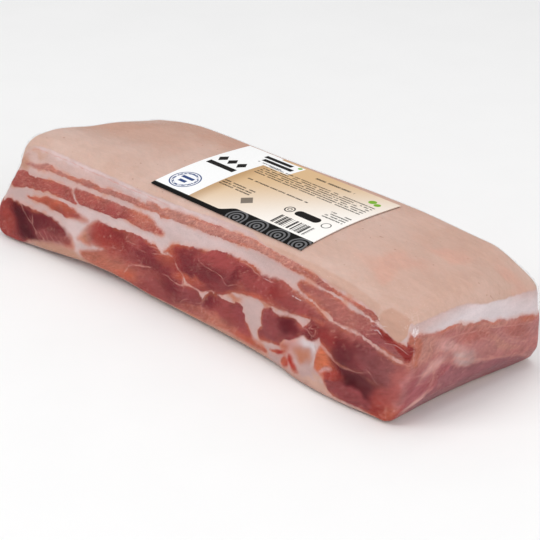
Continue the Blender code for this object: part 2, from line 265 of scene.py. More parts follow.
# Colour of the lean: (s, v, half length, half height, tone[, turn in degrees]), later ones over earlier
LEAN_PATCHES = [
    (-110, 52.5, 60, 8, "salmon"), (-20, 57, 60, 9, "salmon"), (40, 60, 50, 8, "salmon"),
    (115, 56.5, 36, 5, "mauve"), (-135, 41, 40, 10, "mauve"), (-95, 44, 22, 10, "mauve"),
    (-54, 46, 18, 9, "coral"), (-118, 32.5, 28, 7, "ember"), (-98, 31, 9, 4, "mauve"),
    (-128, 15, 36, 19, "dark"), (-154, 10, 14, 24, "red"), (-115, 12, 13, 7, "plum"),
    (-205, 12, 48, 16, "wine"), (-180, 12, 16, 16, "red"), (-250, 12, 34, 18, "plum"),
    (-215, 41, 60, 9, "mauve"), (-215, 31, 34, 5, "ember"), (-235, 52, 70, 6, "salmon"),
    (-58, 24, 52, 24, "rose"), (-80, 26, 18, 13, "red"), (-92, 24, 9, 15, "salmon", 10),
    (-40, 26, 24, 13, "wine"), (-27, 15, 18, 10, "wine"), (-72, 31, 16, 8, "brick"),
    (-59, 33.5, 10, 5, "mauve", -20), (-62, 14, 30, 9, "mauve", 8), (-80, 7, 32, 12, "coral", 8),
    (-63, 8, 11, 6, "ember", 40), (-88, 5, 16, 7, "coral"), (-39, 8, 17, 7, "rose"),
    (-94, 20, 7, 10, "amber"), (20, 38, 80, 20, "rose"), (-33, 37, 9, 9, "ember"), (-21, 36, 13, 12, "red"),
    (-12, 34, 15, 12, "wine"), (15, 46, 28, 8, "rose"), (8, 32, 22, 11, "wine"),
    (22, 34, 22, 7, "plum", 52), (27, 39, 16, 4, "wine", 52), (65, 42, 40, 11, "rose"),
    (60, 43, 13, 5, "brick", 20), (-10, 24, 18, 4, "ember"), (50, 35, 24, 4, "ember"),
    (-30, 42, 12, 4, "ember", 30), (18, 18, 28, 14, "rose"), (5, 20, 12, 8, "wine"),
    (32, 22, 11, 7, "plum", -20), (-9, 15, 14, 10, "plum"), (10, 6, 34, 8, "coral"),
    (40, 6, 26, 5, "ember"), (-8, 5, 16, 6, "mauve"), (64, 23, 30, 17, "plum"), (72, 30, 11, 5, "dark"),
    (62, 12, 14, 4, "ember"), (91, 33, 9, 10, "wine"), (68, 11, 9, 4, "blood"), (80, 10.5, 6, 6, "blood"),
    (73.5, 8, 4, 4, "ember"), (84, 7, 4, 2.5, "ember"), (136, 31, 34, 20, "wine"),
    (107, 36, 20, 12, "brick"), (117, 29, 10, 12, "dark", 20), (133, 36, 13, 9, "haze"),
    (148, 34, 12, 12, "dark"), (122, 8, 20, 8, "plum"), (144, 10, 12, 10, "wine"),
    (131, 18.5, 21, 10, "cherry"), (103, 20, 12, 10, "orange"), (113, 15, 8, 8, "red"),
    (153, 10, 12, 14, "red"), (160, 11, 6, 13, "ember"), (157, 31, 6, 20, "red"), (161, 27, 4, 20, "pink"),
    (105, 49, 46, 11, "clay"), (84, 47, 10, 3, "coral"), (142, 46, 24, 7, "plum"),
    (158.5, 46.5, 4, 8, "ember"), (240, 34, 110, 30, "pink"), (170, 50, 20, 13, "salmon", -10),
    (174, 25, 17, 17, "violet"), (262, 12, 16, 8, "pink"), (204, 49, 26, 3, "salmon", -15),
    (168, 51, 13, 9, "salmon"), (226, 43.5, 26, 3, "salmon", -4), (258, 40.5, 14, 4, "coral"),
    (206, 30.5, 16, 3.5, "gristle", -24), (181, 34, 10, 6, "blush", 20), (236, 30, 26, 3, "salmon", -28),
    (248, 35, 14, 5, "clay", -20), (196, 40, 20, 4, "blush", -30), (214, 41, 18, 6, "clay", -20),
    (176, 12, 12, 6, "blush", 40),
]
LEAN_GROUND = "rose"

# Crisper areas of tone in the lean: (tone, softness of the edge, outline)
LEAN_AREAS = [
    ("cherry", 9.0, [(-151, 28), (-142, 26.5), (-136, 20), (-129, 14), (-124, 7), (-129, 4), (-134, 6),
                     (-140, 12), (-147, 20)]),
    ("dusk", 1.0, [(187, 31), (192, 30.3), (200, 28.5), (208, 26), (215, 24), (224, 21.5), (232, 19.7),
                   (240, 18), (246, 16), (252, 13), (262, 8), (268, 3), (262, -3), (176, -3), (178, 8),
                   (180, 14), (183, 20), (186, 25)]),
    ("fold", 1.4, [(136, 54.5), (142, 54), (149, 53.3), (156, 52.5), (161, 50), (161, 45), (157, 43.5),
                   (151, 45), (145, 47), (140, 50)]),
    ("plum", 2.0, [(108, 3), (110, 9.5), (114, 12.5), (122, 14), (132, 14), (141, 13.2), (147, 9), (147, 0),
                   (108, 0)]),
    ("blush", 2.0, [(100.5, 12), (103, 12.3), (107, 16), (111, 20.5), (109.5, 21.5), (106, 18.5),
                    (102.5, 15.5)]),
    ("coral", 3.0, [(153, 52.5), (156, 58), (164, 59.5), (166, 50), (165, 42), (161.5, 42), (160, 50)]),
    ("violet", 2.5, [(186, 31), (190, 30.5), (196, 29), (192, 27), (187, 26)]),
]

# Colour of the fat, in the same form as that of the lean
FAT_PATCHES = [
    (-140, 57, 60, 12, "warm_fat"), (-97, 24, 20, 22, "white_fat"), (-60, 39, 70, 8, "white_fat"),
    (-15, 52, 60, 9, "white_fat"), (-155, 31, 30, 10, "fat"), (-146, 57.5, 12, 2.5, "cream", -6),
    # The two white_fat bands at v 61.6 and 63 are white fat under the rind, lightened by a painted
    # highlight along the rind's rounded near edge
    (-156, 51, 8, 5, "tan"), (-105, 61.6, 90, 2.2, "white_fat"), (-30, 63, 50, 2.4, "white_fat", 2),
    (0, 1, 180, 8, "tan"), (-110, 4, 30, 6, "tan"), (210, 0, 80, 6, "tan"), (-230, 0, 80, 6, "tan"),
    (28, 28.5, 8, 3, "amber"), (51, 33, 7, 2.5, "amber"), (42, 25, 9, 9, "fat"), (88, 18, 20, 18, "blush"),
    (90, 15, 14, 12, "gristle"), (89, 25.5, 12, 5, "snow"), (85.5, 17, 9, 4.5, "amber"),
    (95.5, 20, 2, 9, "fat"), (92, 10.5, 12, 5, "gristle"), (74, 20, 9, 9, "blush"),
    (72, 15, 7, 4, "coral", 30), (103, 10.5, 8, 3, "cream", -10), (100, 5, 24, 3, "cream"),
    (64, 6, 16, 4, "gristle"), (212, 52, 70, 11, "snow", -4), (290, 50, 40, 12, "snow"),
    (110, 62, 40, 4, "brown_rind"),
]
FAT_GROUND = "fat"

# Lower edge of the rind round the whole strip
RIND_LINE = [
    (-272, 60), (-240, 56), (-200, 51.5), (-170, 50), (-160, 50), (-157.5, 52.5), (-155.5, 57),
    (-152.5, 60.6), (-146, 62), (-120, 62.3), (-60, 63), (-20, 64.6), (0, 67.5), (26, 68), (36, 64),
    (42, 62.5), (55, 61.5), (75, 60.5), (90, 59.3), (130, 58.8), (135, 55), (140, 53), (150, 50.5),
    (154, 54), (156.5, 60), (158, 67.5), (168, 66), (185, 64), (205, 61.5), (225, 56.5), (235, 56.8),
    (255, 59), (290, 60), (330, 62), (380, 61), (430, 63), (480, 61.5), (540, 62.5), (596, 60),
]

# Pale seams and threads: (width, strength, points)
THREADS = [
    (1.0, 0.5, [(-154, 56), (-150, 59.2), (-144, 60), (-120, 60.2), (-90, 60.3), (-60, 61), (-40, 61.5)]),
    (0.8, 0.5, [(-129, 21), (-127.5, 16), (-124, 12)]), (0.6, 0.6, [(-125.5, 12), (-122, 6)]),
    (0.6, 0.6, [(-122, 13), (-118, 6.5)]), (0.6, 0.6, [(-119, 14.5), (-114.5, 7)]),
    (0.6, 0.6, [(-115.5, 14), (-111, 6.5)]), (0.6, 0.6, [(-112, 13.5), (-107.5, 7.5)]),
    (0.5, 0.6, [(-108.5, 13), (-105, 8)]), (0.7, 0.5, [(126, 50), (129, 52), (131, 53.5)]),
    (0.7, 0.5, [(128, 46.2), (134, 48.8)]), (0.8, 0.5, [(132, 56.2), (135, 53.4)]),
    (0.6, 0.5, [(143, 46.5), (150, 48), (156, 47.5)]),
    (1.1, 0.75, [(-64, 10), (-62.5, 13), (-60, 16), (-57, 18), (-53, 19.5), (-49, 21), (-45, 22.3)]),
    (0.7, 0.5, [(-62, 31), (-58, 31.5)]), (0.9, 0.5, [(-52, 30.2), (-50, 30)]),
    (0.7, 0.5, [(-67, 23.3), (-65.5, 24), (-65, 25.8)]), (0.8, 0.5, [(-73, 22.5), (-71, 22.7)]),
    (0.8, 0.5, [(-42, 31.5), (-39, 32.2), (-36, 33)]), (0.8, 0.5, [(-45, 34.8), (-41, 35.2)]),
    (0.9, 0.5, [(-33, 22), (-29, 22), (-27, 20.8), (-24, 20.5)]),
    (0.8, 0.5, [(-3, 39.5), (0, 38.8), (6, 37.9), (12, 37.5), (15, 37), (20, 33), (24, 35), (28, 36.5),
                (32, 37)]),
    (0.7, 0.5, [(28, 49.2), (34, 48.8), (40, 47.5), (44, 46.8)]), (0.7, 0.5, [(47, 46.6), (54, 46.3)]),
    (0.5, 0.3, [(72, 44.8), (76.5, 44.5)]),
    (1.3, 0.7, [(-24.5, 31), (-22, 28.5), (-19, 27), (-17, 24), (-16, 21.5), (-11, 22.8), (-7, 22.5),
                (0, 22), (4, 24.3), (8, 25.4)]),
    (1.2, 0.8, [(-16, 21), (-18, 20.5), (-22, 20.3)]), (1.0, 0.5, [(1, 18), (3, 17), (1, 14), (1, 9)]),
    (0.8, 0.5, [(-17.5, 9), (-15, 12), (-12, 13.5)]), (0.8, 0.5, [(83, 31.5), (87, 32), (90, 31)]),
    (0.8, 0.5, [(89, 34), (92, 34.5), (93, 33)]),
    (0.7, 0.5, [(122, 24.5), (126, 24), (132, 25.5), (137, 28)]),
    (0.6, 0.5, [(136, 29), (140, 26), (143, 23)]), (0.9, 0.5, [(-141, 25.5), (-135, 21.5), (-129, 17)]),
    (1.0, 0.6, [(101, 41.5), (106, 42.3), (112, 43.3), (118, 43.9), (124, 43.6), (130, 42.6), (134, 42),
                (140, 41.3), (146, 41), (150, 40.8), (156, 40.8)]),
    (1.3, 0.5, [(100, 29), (107, 26.5), (112, 24.5), (118, 22.8), (123, 23.6)]),
    (1.0, 0.5, [(127, 52.5), (131, 53.5)]), (0.8, 0.6, [(175, 52), (175.6, 49), (176.6, 46.5)]),
    (0.9, 0.6, [(196, 53), (196.6, 50), (197.6, 47.5)]), (0.8, 0.6, [(232, 44.8), (232.6, 42.5)]),
    (1.2, 0.45, [(183, 43), (188, 40.5)]), (1.0, 0.45, [(205, 39), (212, 35.5)]),
    (1.2, 0.45, [(240, 32), (250, 27), (258, 24.5)]), (0.8, 0.45, [(245, 27), (252, 25)]),
    (1.0, 0.45, [(227, 23.5), (232, 20.5)]), (1.0, 0.45, [(250, 18), (262, 11)]),
    (2.8, 0.45, [(178, 38), (182, 34), (184, 28), (184, 25), (181, 20), (178, 16), (174, 12), (172, 8)]),
    (2.4, 0.45, [(184, 34), (190, 33.5), (198, 32), (206, 29), (211, 26.5), (216, 24.3), (224, 22),
                 (232, 20), (240, 18.3), (248, 16), (256, 13), (262, 9)]),
    (1.1, 0.55, [(190, 47.5), (200, 46), (207, 44.8), (216, 42.8), (226, 42), (238, 40.5), (250, 39.3),
                 (262, 38.3)]),
    (1.4, 0.4, [(168, 44), (174, 40), (182, 37)]), (1.2, 0.35, [(218, 38), (226, 34), (234, 31)]),
    (1.0, 0.4, [(236, 36), (246, 31.5), (254, 29)]), (1.0, 0.4, [(195, 42), (201, 38)]),
    (1.6, 0.35, [(166, 34), (172, 33), (178, 32)]), (1.2, 0.35, [(170, 27), (176, 25.5), (181, 25)]),
    (1.2, 0.8, [(-176, 27), (-186, 20), (-190, 12), (-189, 4)]),
    (1.6, 0.8, [(-210, 23), (-216, 17), (-228, 13), (-240, 11), (-256, 12), (-275, 8)]),
    (0.9, 0.5, [(-200, 41), (-214, 42.5), (-230, 41)]),
]

# Painted highlights of the creased film, drawn as white lines on the meat under it, in the same form
CREASE_GLINTS = [
    (1.6, 0.8, [(161.5, 59), (163.5, 61.5), (163, 65), (164.5, 68)]),
    (1.0, 0.7, [(159.5, 60), (161, 63), (160.5, 66)]), (0.8, 0.7, [(165, 61), (167, 64.5)]),
    (0.9, 0.6, [(158, 69), (161, 71.5), (163, 74)]), (1.0, 0.7, [(132.5, 50), (135, 50.8), (137, 50)]),
    (0.6, 0.5, [(127, 52), (131, 54), (134, 56.5)]), (0.6, 0.5, [(128.5, 53.6), (133, 53.2), (139, 54.6)]),
    (0.5, 0.2, [(142, 46.5), (149, 48.4), (157, 47.6)]), (0.6, 0.4, [(160.5, 56), (161.5, 50), (163, 44)]),
    (0.5, 0.3, [(48, 46.6), (53, 46.3)]), (0.7, 0.5, [(70, 44.8), (77, 44.4)]),
    (0.8, 0.5, [(270, 57), (273, 61), (272, 66)]),
]

# Fine pale streaks across the right end
STREAK_COUNT = 14
STREAK_FROM = 176.0
STREAK_PITCH = 6.3
THREADS += [
    (0.5, 0.3, [(STREAK_FROM + STREAK_PITCH * i, 41 - 0.9 * i + 6 * np.sin(2.3 * i)),
                (STREAK_FROM + STREAK_PITCH * i + 7, 36.5 - 0.9 * i + 6 * np.sin(2.3 * i))])
    for i in range(STREAK_COUNT)]

# Slanting fibres low in the middle of the near face, spread along it
FIBRE_COUNT = 13
FIBRE_FROM = -13.0
FIBRE_PITCH = 3.4
THREADS += [
    (0.6, 0.6, [(FIBRE_FROM + FIBRE_PITCH * i, 4 + 1.2 * np.sin(2.1 * i)),
                (FIBRE_FROM + FIBRE_PITCH * i + 4.5, 10.5 + 2.2 * np.sin(1.7 * i))])
    for i in range(FIBRE_COUNT)]

# Places in the lean with fine fat marbling: (s, v, half length, half height, strength[, turn])
MARBLED = [
    (10, 58, 140, 9, 1.0), (-52, 46, 28, 9, 0.9), (225, 38, 70, 24, 0.45), (96, 49, 34, 9, 0.4),
    (148, 49, 14, 9, 0.0), (5, 8, 26, 7, 0.6), (-225, 41, 50, 9, 0.5), (-110, 12, 14, 7, 0.5),
    (-85, 44, 24, 7, 0.45), (-135, 42, 30, 8, 0.35), (-134, 16, 22, 18, 0.0), (132, 24, 34, 24, 0.0),
    (68, 25, 20, 14, 0.0), (-30, 22, 22, 16, 0.0), (20, 34, 24, 14, 0.0), (30, 20, 12, 12, 0.0),
]
MARBLE_GROUND = 0.05

# Places where lean fades into fat instead of ending at a line, in the same form
FADING = [
    (-94, 20, 14, 20, 1.0), (-112, 8, 28, 8, 0.9, 15), (-84, 8, 30, 9, 0.7, 10), (-44, 45, 12, 7, 0.5),
    (10, 6, 40, 8, 0.8), (76, 10, 14, 8, 0.45), (48, 7, 10, 5, 0.8), (108, 18, 12, 14, 0.7),
    (170, 58, 20, 6, 0.4), (-146, 51, 10, 4, 0.6),
]

# Flushed and browner places on top of the rind: (x, y, half length, half width, strength[, turn])
RIND_FLUSHES = [
    (112, -20, 26, 13, 1, 38), (116, -34, 12, 8, 1, 30), (154, 38, 14, 10, 1, 20), (128, 18, 16, 8, 1, 10),
]
RIND_SHADES = [
    (-128, 14, 56, 46, 0.7), (-84, 46, 70, 18, 0.9), (0, 50, 100, 14, 0.8), (-154, 30, 24, 50, 0.8),
    (132, 0, 44, 64, 0.45), (100, 34, 40, 30, 0.3),
]


def ease(t):
    """Smooth step from 0 to 1."""
    t = np.clip(t, 0, 1)
    return t * t * (3 - 2 * t)


def curve(value, knots):
    """Smooth curve through (place, value) knots that never overshoots them."""
    places, values = np.array(knots, float).T
    slope = np.diff(values) / np.diff(places)
    before, after = slope[:-1], slope[1:]
    bend = np.where(before * after > 0, 2 * before * after / (before + after + 1e-12), 0)
    tangent = np.concatenate([[slope[0]], bend, [slope[-1]]])
    value = np.clip(value, places[0], places[-1])
    i = np.clip(np.searchsorted(places, value) - 1, 0, len(slope) - 1)
    span = places[i + 1] - places[i]
    t = (value - places[i]) / span
    return ((2 * t**3 - 3 * t**2 + 1) * values[i] + (t**3 - 2 * t**2 + t) * span * tangent[i]
            + (3 * t**2 - 2 * t**3) * values[i + 1] + (t**3 - t**2) * span * tangent[i + 1])


def swell(across, up, domes):
    """Summed height of soft domes on a face."""
    total = np.zeros_like(across)
    for centre_across, centre_up, half_across, half_up, height in domes:
        inside = 1 - ((across - centre_across) / half_across)**2 - ((up - centre_up) / half_up)**2
        total += height * ease(inside)
    return total


def on_face(depth):
    """1 on a face, 0 well behind it."""
    return ease((FACE_DEPTH - depth) / FACE_FADE)


def round_block(points):
    """Round the plain block's edges, wider at the rind than at the foot."""
    half = np.array([LENGTH, WIDTH, HEIGHT]) / 2
    middle = np.array([0, 0, HEIGHT / 2])
    offset = points - middle
    share = ease(offset[:, 2:] / HEIGHT + 0.5)
    radius = (1 - share) * FOOT_EDGE + share * RIND_EDGE
    core = np.clip(offset, radius - half, half - radius)
    outward = (offset - core) / radius
    length = np.linalg.norm(outward, axis=1, keepdims=True)
    length[length < 1e-9] = 1
    return core + outward / length * radius + middle


def slab(points):
    """Move points of the plain block to the slab's real surface."""
    x, y, z = round_block(np.asarray(points, float)).T
    h = z / HEIGHT
    to_right = LENGTH / 2 - x
    to_left = LENGTH / 2 + x
    to_near = WIDTH / 2 + y
    to_far = WIDTH / 2 - y
    near = 1 - ease(to_near / (0.85 * WIDTH))
    far = 1 - near
    far_share = ease(to_near / WIDTH)
    right = ease(1 - to_right / RIGHT_REACH)
    left = ease(1 - to_left / LEFT_REACH)

    right_lean = curve(h, RIGHT_END) + FAR_FOOT * far_share**2 * (1 - h)
    left_lean = curve(h, LEFT_END) + LEFT_TOP_BACK * far_share * h
    new_x = (x + right * right_lean + left * left_lean + on_face(to_right) * swell(y, z, RIGHT_MUSCLES)
             - on_face(to_left) * swell(y, z, LEFT_MUSCLES))

    near_lean = curve(h, NEAR_SIDE) * (1 - 0.75 * ease((x - 95) / 60))
    new_y = (y + near * (near_lean + (1 - h) * curve(x, NEAR_FOOT))
             + far * (curve(h, FAR_SIDE) + curve(x, FAR_ALONG))
             - on_face(to_near) * swell(x, z, NEAR_MUSCLES) + on_face(to_far) * swell(x, z, FAR_MUSCLES))

    rind = (curve(x, RIND_ALONG) - RIND_CROWN * (2 * y / WIDTH)**2
            + NEAR_LEFT_RISE * ease(-y / 40) * ease((-x - 60) / 90)
            - FAR_LEFT_FALL * ease((y - 10) / 45) * ease((-x - 110) / 60)
            - FAR_RIGHT_FALL * ease(y / 55) * ease((x - 128) / 34)
            + swell(x, y, RIND_DIMPLES))
    arch = curve(x, UNDERSIDE_ARCH) * ease((ARCH_FROM - y) / ARCH_RUN)
    return np.stack([new_x, new_y, z + h * rind + (1 - h) * arch], axis=-1)


def block_point_under(target):
    """Point on the plain block's top that the slab carries to the places X, Y in target."""
    points = np.column_stack([target, np.full(len(target), HEIGHT)])
    for _ in range(30):
        points[:, :2] += target - slab(points)[:, :2]
    return points


def box_surface(size, base, cells):
    """Grid over the six faces of a box that stands on base: a bmesh in millimetres."""
    mesh = bmesh.new()
    start = np.array([-size[0] / 2, -size[1] / 2, base])
    step = np.array(size) / cells
    corners = {}

    def corner(spot):
        if spot not in corners:
            corners[spot] = mesh.verts.new(start + step * spot)
        return corners[spot]

    for axis in range(3):
        a, b = (axis + 1) % 3, (axis + 2) % 3
        for side in (0, cells[axis]):
            for i in range(cells[a]):
                for j in range(cells[b]):
                    spots = []
                    for di, dj in ((0, 0), (1, 0), (1, 1), (0, 1)):
                        spot = [0, 0, 0]
                        spot[axis], spot[a], spot[b] = side, i + di, j + dj
                        spots.append(corner(tuple(spot)))
                    mesh.faces.new(spots if side else spots[::-1])
    return mesh


def slab_grid(cell):
    size = (LENGTH, WIDTH, HEIGHT)
    return box_surface(size, 0, [round(side / cell) for side in size])


def refine(mesh, cuts, near_side):
    """Cut the cells of two neighbouring cut sides and of their rims into finer ones."""
    limit = MEAT_CELL * 0.75
    edges = []
    for edge in mesh.edges:
        places = np.array([vertex.co for vertex in edge.verts])
        if near_side:
            depth = np.minimum(places[:, 1] + WIDTH / 2, LENGTH / 2 - places[:, 0])
        else:
            depth = np.minimum(WIDTH / 2 - places[:, 1], LENGTH / 2 + places[:, 0])
        if depth.max() < FINE_INSET + 0.1 and edge.calc_length() > limit:
            edges.append(edge)
    bmesh.ops.subdivide_edges(mesh, edges=edges, cuts=cuts, use_grid_fill=True)


def smooth_line(points, closed, steps=4):
    """Points of a smooth curve through the given ones."""
    points = np.array(points, float)
    if closed:
        padded = np.concatenate([points[-1:], points, points[:2]])
    else:
        padded = np.concatenate([2 * points[:1] - points[1:2], points, 2 * points[-1:] - points[-2:-1]])
    shares = np.arange(steps)[:, None] / steps
    out = []
    for a, b, c, d in zip(padded, padded[1:], padded[2:], padded[3:]):
        out.append(0.5 * (2 * b + (c - a) * shares + (2 * a - 5 * b + 4 * c - d) * shares**2
                          + (3 * b - a - 3 * c + d) * shares**3))
    if not closed:
        out.append(points[-1:])
    return np.concatenate(out)


def nearby(s, v, line, reach):
    low, high = line.min(axis=0) - reach, line.max(axis=0) + reach
    return np.nonzero((s > low[0]) & (s < high[0]) & (v > low[1]) & (v < high[1]))[0]


def segment_offsets(s, v, start, end):
    """Distance of each point from one segment, and which side of it the point is on."""
    run = end - start
    ds, dv = s - start[0], v - start[1]
    along = np.clip((ds * run[0] + dv * run[1]) / (run @ run + 1e-9), 0, 1)
    return np.hypot(ds - along * run[0], dv - along * run[1]), ds * run[1] - dv * run[0]


def depth_inside(s, v, outline):
    """Distance to a closed outline, positive inside it, no less than -REACH."""
    line = smooth_line(outline, closed=True)
    depth = np.full(len(s), -REACH)
    chosen = nearby(s, v, line, REACH)
    s, v = s[chosen], v[chosen]
    distance = np.full(len(s), np.inf)
    inside = np.zeros(len(s), bool)
    for start, end in zip(line, np.roll(line, -1, axis=0)):
        distance = np.minimum(distance, segment_offsets(s, v, start, end)[0])
        spans = (start[1] > v) != (end[1] > v)
        crossing = start[0] + (v - start[1]) / (end[1] - start[1] + 1e-12) * (end[0] - start[0])
        inside ^= spans & (s < crossing)
    depth[chosen] = np.clip(np.where(inside, distance, -distance), -REACH, REACH)
    return depth


def lean_depth(s, v):
    """Distance into the nearest muscle, positive in the lean."""
    depth = np.full(len(s), -REACH)
    for outline in LEAN.values():
        depth = np.maximum(depth, depth_inside(s, v, outline))
    return depth


def strokes(lines):
    """Field of signed distance from the nearest line, in half widths, and that line's strength."""
    def field(s, v):
        nearest = np.full(len(s), REACH)
        strength_there = np.zeros(len(s))
        for width, strength, points in lines:
            line = smooth_line(points, closed=False)
            chosen = nearby(s, v, line, REACH * width / 2)
            offset, own_strength = nearest[chosen], strength_there[chosen]
            for start, end in zip(line, line[1:]):
                distance, side = segment_offsets(s[chosen], v[chosen], start, end)
                distance = distance * 2 / width
                closer = distance < abs(offset)
                offset = np.where(closer, np.where(side < 0, -distance, distance), offset)
                own_strength = np.where(closer, strength, own_strength)
            nearest[chosen], strength_there[chosen] = offset, own_strength
        return np.column_stack([nearest, strength_there])
    return field


def linear(colour):
    """Scene colour of an sRGB tone given as 0 to 255."""
    share = np.array(colour, float) / 255
    return np.where(share < 0.04045, share / 12.92, ((share + 0.055) / 1.055)**2.4)


def shares(s, v, patches):
    """Each patch's share at the points, whole in its middle and gone past its edge, with its value."""
    for centre_s, centre_v, half_s, half_v, value, *turn in patches:
        angle = np.radians(sum(turn))
        ds, dv = s - centre_s, v - centre_v
        along = (ds * np.cos(angle) + dv * np.sin(angle)) / half_s
        across = (dv * np.cos(angle) - ds * np.sin(angle)) / half_v
        yield ease(PATCH_EDGE - np.hypot(along, across)), value


def layered(ground, patches, areas=()):
    """Field of a colour, or of a strength, at each point: patches and areas over a ground."""
    def worth(value):
        return linear(TONES[value]) if isinstance(value, str) else float(value)

    def field(s, v):
        layers = list(shares(s, v, patches))
        layers += [(ease(depth_inside(s, v, outline) / soft + 0.5), tone) for tone, soft, outline in areas]
        result = np.tile(worth(ground), (len(s), 1))
        for share, value in layers:
            result = result * (1 - share[:, None]) + worth(value) * share[:, None]
        return result
    return field


def wobble(points, wave, amount, seed):
    """Smooth wandering offset, as a sum of waves in seeded directions."""
    random = np.random.default_rng(seed)
    total = np.zeros(len(points))
    for share in (1, 0.62, 0.37, 0.22):
        direction = random.normal(size=3)
        direction /= np.linalg.norm(direction)
        total += share * np.sin(points @ direction * 2 * np.pi / (wave * share) + random.uniform(0, 6.28))
    return total * amount / 1.4


def all_round(s, v, field):
    """A field over the whole strip. The far side borrows the near side's, mirrored and stretched."""
    far_x = FAR_CORNER + LENGTH / 2 - s
    value = field(s, v)
    far_side = np.nonzero(s > FAR_CORNER - BLEND)[0]
    s, v, far_x = s[far_side], v[far_side], far_x[far_side]
    mirrored = field(0.92 * far_x + 14 * np.sin(far_x / 60) - 10, v + 3 * np.sin(far_x / 45 + 1))
    beyond = field(s - ROUND, v)
    to_mirrored = ease((s - FAR_CORNER + BLEND / 4) / BLEND)
    to_beyond = ease((s - LAST_CORNER + BLEND) / BLEND)
    if value.ndim == 2:
        to_mirrored, to_beyond = to_mirrored[:, None], to_beyond[:, None]
    mixed = value[far_side] * (1 - to_mirrored) + mirrored * to_mirrored
    value[far_side] = mixed * (1 - to_beyond) + beyond * to_beyond
    return value


def unroll(points):
    """Places along and up the strip for points on the plain block."""
    x, y, z = points.T
    to_side = np.stack([y + WIDTH / 2, LENGTH / 2 - x, WIDTH / 2 - y, x + LENGTH / 2])
    quarter = (LENGTH + WIDTH) / 2
    along = np.stack([x, quarter + y, 2 * quarter - x, -quarter - y])
    side = to_side.argmin(axis=0)
    each = np.arange(len(x))
    inset = to_side[side, each]
    v = np.where(z > HEIGHT - TOUCH, HEIGHT + inset, np.where(z < TOUCH, -inset, z))
    return along[side, each], v


def underside_pattern(points):
    """Lean and membrane on the foot, as long uneven streaks."""
    x, y = points[:, 0], points[:, 1]
    return (1.6 + 2.2 * np.sin(y / 6.5 + 1.4 * np.sin(x / 38)) + 1.8 * np.sin(x / 21 + 2 * np.sin(y / 17))
            + 1.2 * np.sin(x / 9 + y / 5))


def set_values(mesh, name, values):
    mesh.attributes.new(name, "FLOAT", "POINT").data.foreach_set("value", values.astype(np.float32).ravel())


def set_colours(mesh, name, colours):
    rgba = np.column_stack([colours, np.ones(len(colours))]).astype(np.float32)
    mesh.attributes.new(name, "FLOAT_COLOR", "POINT").data.foreach_set("color", rgba.ravel())


def places_of(mesh):
    return np.array([vertex.co for vertex in mesh.verts])


def to_object(name, mesh, places):
    """Finish a bmesh as an object whose vertices stand at the given places, in metres."""
    data = bpy.data.meshes.new(name)
    for vertex, place in zip(mesh.verts, places):
        vertex.co = place
    bmesh.ops.recalc_face_normals(mesh, faces=mesh.faces)
    mesh.to_mesh(data)
    mesh.free()
    data.shade_smooth()
    piece = bpy.data.objects.new(name, data)
    bpy.context.scene.collection.objects.link(piece)
    return piece


def read_vertices(piece, what):
    """Places ("co") or normals ("normal") of a piece's vertices."""
    values = np.zeros(len(piece.data.vertices) * 3, np.float32)
    piece.data.vertices.foreach_get(what, values)
    return values.reshape(-1, 3)


def push_out(piece, amount):
    """Move each vertex along its normal, by millimetres."""
    places = read_vertices(piece, "co") + read_vertices(piece, "normal") * amount[:, None] * MM
    piece.data.vertices.foreach_set("co", places.ravel())
    piece.data.update()


class Field:
    """A number that varies over the surface: the output of one shader node."""

    def __init__(self, shader, socket):
        self.shader = shader
        self.socket = socket

    def math(self, operation, *others):
        return self.shader.math(operation, self, *others)

    def __add__(self, other):
        return self.math("ADD", other)

    def __sub__(self, other):
        return self.math("SUBTRACT", other)

    def __rsub__(self, other):
        return self.shader.math("SUBTRACT", other, self)

    def __mul__(self, other):
        return self.math("MULTIPLY", other)

    def __truediv__(self, other):
        return self.math("DIVIDE", other)

    def __abs__(self):
        return self.math("ABSOLUTE")

    __radd__ = __add__
    __rmul__ = __mul__


